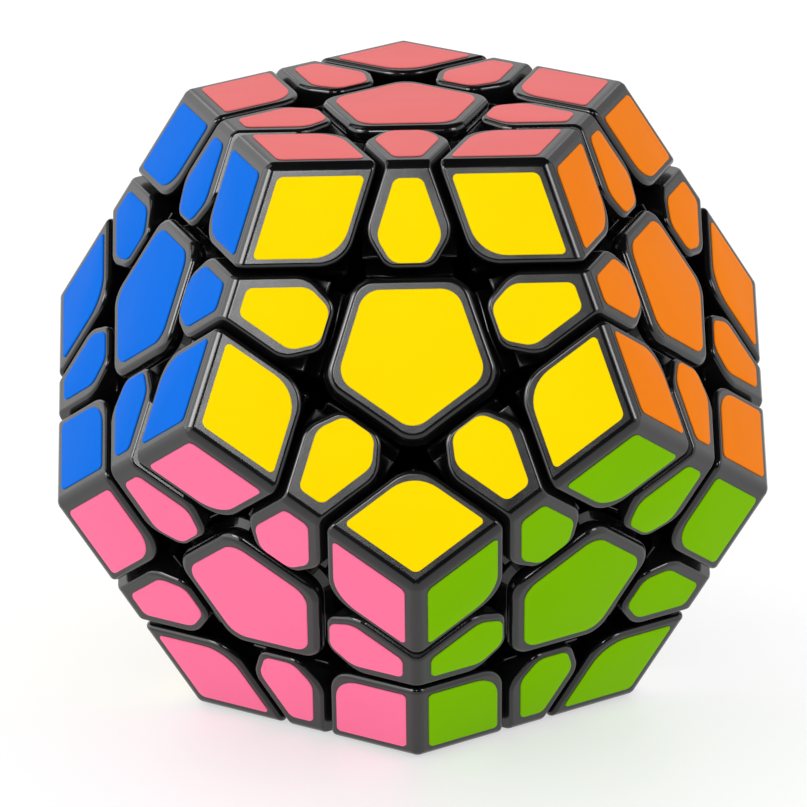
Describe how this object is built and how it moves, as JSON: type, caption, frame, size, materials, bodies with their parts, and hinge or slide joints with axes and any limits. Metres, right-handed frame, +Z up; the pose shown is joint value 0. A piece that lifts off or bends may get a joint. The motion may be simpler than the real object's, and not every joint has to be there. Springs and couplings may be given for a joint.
{
  "type": "dodecahedron twisty puzzle",
  "caption": "Twelve-sided twisty puzzle in black plastic with coloured stickers; each face's layer of a centre, edges and corners turns about the core.",
  "frame": {"origin": "middle of the core, where the axes of all twelve faces meet", "axes": "+Z up through the red face, the puzzle stands on its grey face; -Y is the side of the yellow face"},
  "size_m": [0.0776, 0.0816, 0.066],
  "materials": {
    "black_plastic": "satin moulded black plastic with coloured vinyl stickers on the outer faces",
    "core_plastic": "dark moulded plastic",
    "steel": "plain steel screws, springs and washers",
    "sticker_yellow": "satin yellow vinyl sticker",
    "sticker_turquoise": "satin turquoise vinyl sticker",
    "sticker_white": "satin white vinyl sticker",
    "sticker_red": "satin red vinyl sticker",
    "sticker_blue": "satin blue vinyl sticker",
    "sticker_orange": "satin orange vinyl sticker",
    "sticker_pink": "satin pink vinyl sticker",
    "sticker_green": "satin green vinyl sticker",
    "sticker_violet": "satin violet vinyl sticker",
    "sticker_cream": "satin cream vinyl sticker",
    "sticker_emerald": "satin emerald vinyl sticker",
    "sticker_grey": "satin grey vinyl sticker"
  },
  "bodies": {
    "core": {"core_and_centre_grey": "core_plastic"},
    "yellow_layer": {"centre_yellow": "black_plastic"},
    "turquoise_layer": {"centre_turquoise": "black_plastic"},
    "white_layer": {"centre_and_edge_white_grey": "black_plastic"},
    "red_layer": {"centre_red": "black_plastic"},
    "blue_layer": {"centre_blue": "black_plastic"},
    "orange_layer": {"centre_orange": "black_plastic"},
    "pink_layer": {"centre_pink": "black_plastic", "edge_pink_grey": "black_plastic"},
    "green_layer": {"centre_green": "black_plastic", "edge_green_grey": "black_plastic"},
    "violet_layer": {"centre_violet": "black_plastic"},
    "cream_layer": {"centre_cream": "black_plastic", "edge_cream_grey": "black_plastic"},
    "emerald_layer": {"centre_and_edge_emerald_grey": "black_plastic"},
    "edge_yellow_red": {"edge_yellow_red": "black_plastic"},
    "edge_yellow_blue": {"edge_yellow_blue": "black_plastic"},
    "edge_yellow_orange": {"edge_yellow_orange": "black_plastic"},
    "edge_yellow_pink": {"edge_yellow_pink": "black_plastic"},
    "edge_yellow_green": {"edge_yellow_green": "black_plastic"},
    "edge_turquoise_red": {"edge_turquoise_red": "black_plastic"},
    "edge_turquoise_blue": {"edge_turquoise_blue": "black_plastic"},
    "edge_turquoise_violet": {"edge_turquoise_violet": "black_plastic"},
    "edge_turquoise_cream": {"edge_turquoise_cream": "black_plastic"},
    "edge_turquoise_emerald": {"edge_turquoise_emerald": "black_plastic"},
    "edge_white_orange": {"edge_white_orange": "black_plastic"},
    "edge_white_green": {"edge_white_green": "black_plastic"},
    "edge_white_violet": {"edge_white_violet": "black_plastic"},
    "edge_white_emerald": {"edge_white_emerald": "black_plastic"},
    "edge_red_blue": {"edge_red_blue": "black_plastic"},
    "edge_red_orange": {"edge_red_orange": "black_plastic"},
    "edge_red_violet": {"edge_red_violet": "black_plastic"},
    "edge_blue_pink": {"edge_blue_pink": "black_plastic"},
    "edge_blue_cream": {"edge_blue_cream": "black_plastic"},
    "edge_orange_green": {"edge_orange_green": "black_plastic"},
    "edge_orange_violet": {"edge_orange_violet": "black_plastic"},
    "edge_pink_green": {"edge_pink_green": "black_plastic"},
    "edge_pink_cream": {"edge_pink_cream": "black_plastic"},
    "edge_violet_emerald": {"edge_violet_emerald": "black_plastic"},
    "edge_cream_emerald": {"edge_cream_emerald": "black_plastic"},
    "corner_yellow_red_blue": {"corner_yellow_red_blue": "black_plastic"},
    "corner_yellow_red_orange": {"corner_yellow_red_orange": "black_plastic"},
    "corner_yellow_blue_pink": {"corner_yellow_blue_pink": "black_plastic"},
    "corner_yellow_orange_green": {"corner_yellow_orange_green": "black_plastic"},
    "corner_yellow_pink_green": {"corner_yellow_pink_green": "black_plastic"},
    "corner_turquoise_red_blue": {"corner_turquoise_red_blue": "black_plastic"},
    "corner_turquoise_red_violet": {"corner_turquoise_red_violet": "black_plastic"},
    "corner_turquoise_blue_cream": {"corner_turquoise_blue_cream": "black_plastic"},
    "corner_turquoise_violet_emerald": {"corner_turquoise_violet_emerald": "black_plastic"},
    "corner_turquoise_cream_emerald": {"corner_turquoise_cream_emerald": "black_plastic"},
    "corner_white_orange_green": {"corner_white_orange_green": "black_plastic"},
    "corner_white_orange_violet": {"corner_white_orange_violet": "black_plastic"},
    "corner_white_green_grey": {"corner_white_green_grey": "black_plastic"},
    "corner_white_violet_emerald": {"corner_white_violet_emerald": "black_plastic"},
    "corner_white_emerald_grey": {"corner_white_emerald_grey": "black_plastic"},
    "corner_red_orange_violet": {"corner_red_orange_violet": "black_plastic"},
    "corner_blue_pink_cream": {"corner_blue_pink_cream": "black_plastic"},
    "corner_pink_green_grey": {"corner_pink_green_grey": "black_plastic"},
    "corner_pink_cream_grey": {"corner_pink_cream_grey": "black_plastic"},
    "corner_cream_emerald_grey": {"corner_cream_emerald_grey": "black_plastic"}
  },
  "joints": [
    {"name": "turn_yellow", "type": "hinge", "parent": "core", "child": "yellow_layer", "pos_m": [0, 0, 0], "axis": [0, -0.8944, 0.4472], "continuous": true},
    {"name": "turn_turquoise", "type": "hinge", "parent": "core", "child": "turquoise_layer", "pos_m": [0, 0, 0], "axis": [-0.5257, 0.7236, 0.4472], "continuous": true},
    {"name": "turn_white", "type": "hinge", "parent": "core", "child": "white_layer", "pos_m": [0, 0, 0], "axis": [0.8507, 0.2764, -0.4472], "continuous": true},
    {"name": "turn_red", "type": "hinge", "parent": "core", "child": "red_layer", "pos_m": [0, 0, 0], "axis": [0, 0, 1], "range_deg": [-360, 360]},
    {"name": "turn_blue", "type": "hinge", "parent": "core", "child": "blue_layer", "pos_m": [0, 0, 0], "axis": [-0.8507, -0.2764, 0.4472], "range_deg": [-360, 360]},
    {"name": "turn_orange", "type": "hinge", "parent": "core", "child": "orange_layer", "pos_m": [0, 0, 0], "axis": [0.8507, -0.2764, 0.4472], "range_deg": [-360, 360]},
    {"name": "turn_pink", "type": "hinge", "parent": "core", "child": "pink_layer", "pos_m": [0, 0, 0], "axis": [-0.5257, -0.7236, -0.4472], "range_deg": [-360, 360]},
    {"name": "turn_green", "type": "hinge", "parent": "core", "child": "green_layer", "pos_m": [0, 0, 0], "axis": [0.5257, -0.7236, -0.4472], "range_deg": [-360, 360]},
    {"name": "turn_violet", "type": "hinge", "parent": "core", "child": "violet_layer", "pos_m": [0, 0, 0], "axis": [0.5257, 0.7236, 0.4472], "range_deg": [-360, 360]},
    {"name": "turn_cream", "type": "hinge", "parent": "core", "child": "cream_layer", "pos_m": [0, 0, 0], "axis": [-0.8507, 0.2764, -0.4472], "range_deg": [-360, 360]},
    {"name": "turn_emerald", "type": "hinge", "parent": "core", "child": "emerald_layer", "pos_m": [0, 0, 0], "axis": [0, 0.8944, -0.4472], "range_deg": [-360, 360]},
    {"name": "edge_yellow_red_about_red", "type": "hinge", "parent": "yellow_layer", "child": "edge_yellow_red", "pos_m": [0, 0, 0], "axis": [0, 0, 1], "range_deg": [-360, 360]},
    {"name": "edge_yellow_blue_about_blue", "type": "hinge", "parent": "yellow_layer", "child": "edge_yellow_blue", "pos_m": [0, 0, 0], "axis": [-0.8507, -0.2764, 0.4472], "range_deg": [-360, 360]},
    {"name": "edge_yellow_orange_about_orange", "type": "hinge", "parent": "yellow_layer", "child": "edge_yellow_orange", "pos_m": [0, 0, 0], "axis": [0.8507, -0.2764, 0.4472], "range_deg": [-360, 360]},
    {"name": "edge_yellow_pink_about_pink", "type": "hinge", "parent": "yellow_layer", "child": "edge_yellow_pink", "pos_m": [0, 0, 0], "axis": [-0.5257, -0.7236, -0.4472], "range_deg": [-360, 360]},
    {"name": "edge_yellow_green_about_green", "type": "hinge", "parent": "yellow_layer", "child": "edge_yellow_green", "pos_m": [0, 0, 0], "axis": [0.5257, -0.7236, -0.4472], "range_deg": [-360, 360]},
    {"name": "edge_turquoise_red_about_red", "type": "hinge", "parent": "turquoise_layer", "child": "edge_turquoise_red", "pos_m": [0, 0, 0], "axis": [0, 0, 1], "range_deg": [-360, 360]},
    {"name": "edge_turquoise_blue_about_blue", "type": "hinge", "parent": "turquoise_layer", "child": "edge_turquoise_blue", "pos_m": [0, 0, 0], "axis": [-0.8507, -0.2764, 0.4472], "range_deg": [-360, 360]},
    {"name": "edge_turquoise_violet_about_violet", "type": "hinge", "parent": "turquoise_layer", "child": "edge_turquoise_violet", "pos_m": [0, 0, 0], "axis": [0.5257, 0.7236, 0.4472], "range_deg": [-360, 360]},
    {"name": "edge_turquoise_cream_about_cream", "type": "hinge", "parent": "turquoise_layer", "child": "edge_turquoise_cream", "pos_m": [0, 0, 0], "axis": [-0.8507, 0.2764, -0.4472], "range_deg": [-360, 360]},
    {"name": "edge_turquoise_emerald_about_emerald", "type": "hinge", "parent": "turquoise_layer", "child": "edge_turquoise_emerald", "pos_m": [0, 0, 0], "axis": [0, 0.8944, -0.4472], "range_deg": [-360, 360]},
    {"name": "edge_white_orange_about_orange", "type": "hinge", "parent": "white_layer", "child": "edge_white_orange", "pos_m": [0, 0, 0], "axis": [0.8507, -0.2764, 0.4472], "range_deg": [-360, 360]},
    {"name": "edge_white_green_about_green", "type": "hinge", "parent": "white_layer", "child": "edge_white_green", "pos_m": [0, 0, 0], "axis": [0.5257, -0.7236, -0.4472], "range_deg": [-360, 360]},
    {"name": "edge_white_violet_about_violet", "type": "hinge", "parent": "white_layer", "child": "edge_white_violet", "pos_m": [0, 0, 0], "axis": [0.5257, 0.7236, 0.4472], "range_deg": [-360, 360]},
    {"name": "edge_white_emerald_about_emerald", "type": "hinge", "parent": "white_layer", "child": "edge_white_emerald", "pos_m": [0, 0, 0], "axis": [0, 0.8944, -0.4472], "range_deg": [-360, 360]},
    {"name": "edge_red_blue_about_blue", "type": "hinge", "parent": "red_layer", "child": "edge_red_blue", "pos_m": [0, 0, 0], "axis": [-0.8507, -0.2764, 0.4472], "range_deg": [-360, 360]},
    {"name": "edge_red_orange_about_orange", "type": "hinge", "parent": "red_layer", "child": "edge_red_orange", "pos_m": [0, 0, 0], "axis": [0.8507, -0.2764, 0.4472], "range_deg": [-360, 360]},
    {"name": "edge_red_violet_about_violet", "type": "hinge", "parent": "red_layer", "child": "edge_red_violet", "pos_m": [0, 0, 0], "axis": [0.5257, 0.7236, 0.4472], "range_deg": [-360, 360]},
    {"name": "edge_blue_pink_about_pink", "type": "hinge", "parent": "blue_layer", "child": "edge_blue_pink", "pos_m": [0, 0, 0], "axis": [-0.5257, -0.7236, -0.4472], "range_deg": [-360, 360]},
    {"name": "edge_blue_cream_about_cream", "type": "hinge", "parent": "blue_layer", "child": "edge_blue_cream", "pos_m": [0, 0, 0], "axis": [-0.8507, 0.2764, -0.4472], "range_deg": [-360, 360]},
    {"name": "edge_orange_green_about_green", "type": "hinge", "parent": "orange_layer", "child": "edge_orange_green", "pos_m": [0, 0, 0], "axis": [0.5257, -0.7236, -0.4472], "range_deg": [-360, 360]},
    {"name": "edge_orange_violet_about_violet", "type": "hinge", "parent": "orange_layer", "child": "edge_orange_violet", "pos_m": [0, 0, 0], "axis": [0.5257, 0.7236, 0.4472], "range_deg": [-360, 360]},
    {"name": "edge_pink_green_about_green", "type": "hinge", "parent": "pink_layer", "child": "edge_pink_green", "pos_m": [0, 0, 0], "axis": [0.5257, -0.7236, -0.4472], "range_deg": [-360, 360]},
    {"name": "edge_pink_cream_about_cream", "type": "hinge", "parent": "pink_layer", "child": "edge_pink_cream", "pos_m": [0, 0, 0], "axis": [-0.8507, 0.2764, -0.4472], "range_deg": [-360, 360]},
    {"name": "edge_violet_emerald_about_emerald", "type": "hinge", "parent": "violet_layer", "child": "edge_violet_emerald", "pos_m": [0, 0, 0], "axis": [0, 0.8944, -0.4472], "range_deg": [-360, 360]},
    {"name": "edge_cream_emerald_about_emerald", "type": "hinge", "parent": "cream_layer", "child": "edge_cream_emerald", "pos_m": [0, 0, 0], "axis": [0, 0.8944, -0.4472], "range_deg": [-360, 360]},
    {"name": "corner_yellow_red_blue_about_blue", "type": "hinge", "parent": "edge_yellow_red", "child": "corner_yellow_red_blue", "pos_m": [0, 0, 0], "axis": [-0.8507, -0.2764, 0.4472], "range_deg": [-360, 360]},
    {"name": "corner_yellow_red_orange_about_orange", "type": "hinge", "parent": "edge_yellow_red", "child": "corner_yellow_red_orange", "pos_m": [0, 0, 0], "axis": [0.8507, -0.2764, 0.4472], "range_deg": [-360, 360]},
    {"name": "corner_yellow_blue_pink_about_pink", "type": "hinge", "parent": "edge_yellow_blue", "child": "corner_yellow_blue_pink", "pos_m": [0, 0, 0], "axis": [-0.5257, -0.7236, -0.4472], "range_deg": [-360, 360]},
    {"name": "corner_yellow_orange_green_about_green", "type": "hinge", "parent": "edge_yellow_orange", "child": "corner_yellow_orange_green", "pos_m": [0, 0, 0], "axis": [0.5257, -0.7236, -0.4472], "range_deg": [-360, 360]},
    {"name": "corner_yellow_pink_green_about_green", "type": "hinge", "parent": "edge_yellow_pink", "child": "corner_yellow_pink_green", "pos_m": [0, 0, 0], "axis": [0.5257, -0.7236, -0.4472], "range_deg": [-360, 360]},
    {"name": "corner_turquoise_red_blue_about_blue", "type": "hinge", "parent": "edge_turquoise_red", "child": "corner_turquoise_red_blue", "pos_m": [0, 0, 0], "axis": [-0.8507, -0.2764, 0.4472], "range_deg": [-360, 360]},
    {"name": "corner_turquoise_red_violet_about_violet", "type": "hinge", "parent": "edge_turquoise_red", "child": "corner_turquoise_red_violet", "pos_m": [0, 0, 0], "axis": [0.5257, 0.7236, 0.4472], "range_deg": [-360, 360]},
    {"name": "corner_turquoise_blue_cream_about_cream", "type": "hinge", "parent": "edge_turquoise_blue", "child": "corner_turquoise_blue_cream", "pos_m": [0, 0, 0], "axis": [-0.8507, 0.2764, -0.4472], "range_deg": [-360, 360]},
    {"name": "corner_turquoise_violet_emerald_about_emerald", "type": "hinge", "parent": "edge_turquoise_violet", "child": "corner_turquoise_violet_emerald", "pos_m": [0, 0, 0], "axis": [0, 0.8944, -0.4472], "range_deg": [-360, 360]},
    {"name": "corner_turquoise_cream_emerald_about_emerald", "type": "hinge", "parent": "edge_turquoise_cream", "child": "corner_turquoise_cream_emerald", "pos_m": [0, 0, 0], "axis": [0, 0.8944, -0.4472], "range_deg": [-360, 360]},
    {"name": "corner_white_orange_green_about_green", "type": "hinge", "parent": "edge_white_orange", "child": "corner_white_orange_green", "pos_m": [0, 0, 0], "axis": [0.5257, -0.7236, -0.4472], "range_deg": [-360, 360]},
    {"name": "corner_white_orange_violet_about_violet", "type": "hinge", "parent": "edge_white_orange", "child": "corner_white_orange_violet", "pos_m": [0, 0, 0], "axis": [0.5257, 0.7236, 0.4472], "range_deg": [-360, 360]},
    {"name": "corner_white_green_grey_about_green", "type": "hinge", "parent": "white_layer", "child": "corner_white_green_grey", "pos_m": [0, 0, 0], "axis": [0.5257, -0.7236, -0.4472], "range_deg": [-360, 360]},
    {"name": "corner_white_violet_emerald_about_emerald", "type": "hinge", "parent": "edge_white_violet", "child": "corner_white_violet_emerald", "pos_m": [0, 0, 0], "axis": [0, 0.8944, -0.4472], "range_deg": [-360, 360]},
    {"name": "corner_white_emerald_grey_about_emerald", "type": "hinge", "parent": "white_layer", "child": "corner_white_emerald_grey", "pos_m": [0, 0, 0], "axis": [0, 0.8944, -0.4472], "range_deg": [-360, 360]},
    {"name": "corner_red_orange_violet_about_violet", "type": "hinge", "parent": "edge_red_orange", "child": "corner_red_orange_violet", "pos_m": [0, 0, 0], "axis": [0.5257, 0.7236, 0.4472], "range_deg": [-360, 360]},
    {"name": "corner_blue_pink_cream_about_cream", "type": "hinge", "parent": "edge_blue_pink", "child": "corner_blue_pink_cream", "pos_m": [0, 0, 0], "axis": [-0.8507, 0.2764, -0.4472], "range_deg": [-360, 360]},
    {"name": "corner_pink_green_grey_about_green", "type": "hinge", "parent": "pink_layer", "child": "corner_pink_green_grey", "pos_m": [0, 0, 0], "axis": [0.5257, -0.7236, -0.4472], "range_deg": [-360, 360]},
    {"name": "corner_pink_cream_grey_about_cream", "type": "hinge", "parent": "pink_layer", "child": "corner_pink_cream_grey", "pos_m": [0, 0, 0], "axis": [-0.8507, 0.2764, -0.4472], "range_deg": [-360, 360]},
    {"name": "corner_cream_emerald_grey_about_emerald", "type": "hinge", "parent": "cream_layer", "child": "corner_cream_emerald_grey", "pos_m": [0, 0, 0], "axis": [0, 0.8944, -0.4472], "range_deg": [-360, 360]}
  ],
  "couplings": [
    {"joint": "edge_yellow_red_about_red", "follows": "turn_red", "ratio": 1},
    {"joint": "edge_yellow_blue_about_blue", "follows": "turn_blue", "ratio": 1},
    {"joint": "edge_yellow_orange_about_orange", "follows": "turn_orange", "ratio": 1},
    {"joint": "edge_yellow_pink_about_pink", "follows": "turn_pink", "ratio": 1},
    {"joint": "edge_yellow_green_about_green", "follows": "turn_green", "ratio": 1},
    {"joint": "edge_turquoise_red_about_red", "follows": "turn_red", "ratio": 1},
    {"joint": "edge_turquoise_blue_about_blue", "follows": "turn_blue", "ratio": 1},
    {"joint": "edge_turquoise_violet_about_violet", "follows": "turn_violet", "ratio": 1},
    {"joint": "edge_turquoise_cream_about_cream", "follows": "turn_cream", "ratio": 1},
    {"joint": "edge_turquoise_emerald_about_emerald", "follows": "turn_emerald", "ratio": 1},
    {"joint": "edge_white_orange_about_orange", "follows": "turn_orange", "ratio": 1},
    {"joint": "edge_white_green_about_green", "follows": "turn_green", "ratio": 1},
    {"joint": "edge_white_violet_about_violet", "follows": "turn_violet", "ratio": 1},
    {"joint": "edge_white_emerald_about_emerald", "follows": "turn_emerald", "ratio": 1},
    {"joint": "edge_red_blue_about_blue", "follows": "turn_blue", "ratio": 1},
    {"joint": "edge_red_orange_about_orange", "follows": "turn_orange", "ratio": 1},
    {"joint": "edge_red_violet_about_violet", "follows": "turn_violet", "ratio": 1},
    {"joint": "edge_blue_pink_about_pink", "follows": "turn_pink", "ratio": 1},
    {"joint": "edge_blue_cream_about_cream", "follows": "turn_cream", "ratio": 1},
    {"joint": "edge_orange_green_about_green", "follows": "turn_green", "ratio": 1},
    {"joint": "edge_orange_violet_about_violet", "follows": "turn_violet", "ratio": 1},
    {"joint": "edge_pink_green_about_green", "follows": "turn_green", "ratio": 1},
    {"joint": "edge_pink_cream_about_cream", "follows": "turn_cream", "ratio": 1},
    {"joint": "edge_violet_emerald_about_emerald", "follows": "turn_emerald", "ratio": 1},
    {"joint": "edge_cream_emerald_about_emerald", "follows": "turn_emerald", "ratio": 1},
    {"joint": "corner_yellow_red_blue_about_blue", "follows": "turn_blue", "ratio": 1},
    {"joint": "corner_yellow_red_orange_about_orange", "follows": "turn_orange", "ratio": 1},
    {"joint": "corner_yellow_blue_pink_about_pink", "follows": "turn_pink", "ratio": 1},
    {"joint": "corner_yellow_orange_green_about_green", "follows": "turn_green", "ratio": 1},
    {"joint": "corner_yellow_pink_green_about_green", "follows": "turn_green", "ratio": 1},
    {"joint": "corner_turquoise_red_blue_about_blue", "follows": "turn_blue", "ratio": 1},
    {"joint": "corner_turquoise_red_violet_about_violet", "follows": "turn_violet", "ratio": 1},
    {"joint": "corner_turquoise_blue_cream_about_cream", "follows": "turn_cream", "ratio": 1},
    {"joint": "corner_turquoise_violet_emerald_about_emerald", "follows": "turn_emerald", "ratio": 1},
    {"joint": "corner_turquoise_cream_emerald_about_emerald", "follows": "turn_emerald", "ratio": 1},
    {"joint": "corner_white_orange_green_about_green", "follows": "turn_green", "ratio": 1},
    {"joint": "corner_white_orange_violet_about_violet", "follows": "turn_violet", "ratio": 1},
    {"joint": "corner_white_green_grey_about_green", "follows": "turn_green", "ratio": 1},
    {"joint": "corner_white_violet_emerald_about_emerald", "follows": "turn_emerald", "ratio": 1},
    {"joint": "corner_white_emerald_grey_about_emerald", "follows": "turn_emerald", "ratio": 1},
    {"joint": "corner_red_orange_violet_about_violet", "follows": "turn_violet", "ratio": 1},
    {"joint": "corner_blue_pink_cream_about_cream", "follows": "turn_cream", "ratio": 1},
    {"joint": "corner_pink_green_grey_about_green", "follows": "turn_green", "ratio": 1},
    {"joint": "corner_pink_cream_grey_about_cream", "follows": "turn_cream", "ratio": 1},
    {"joint": "corner_cream_emerald_grey_about_emerald", "follows": "turn_emerald", "ratio": 1}
  ]
}
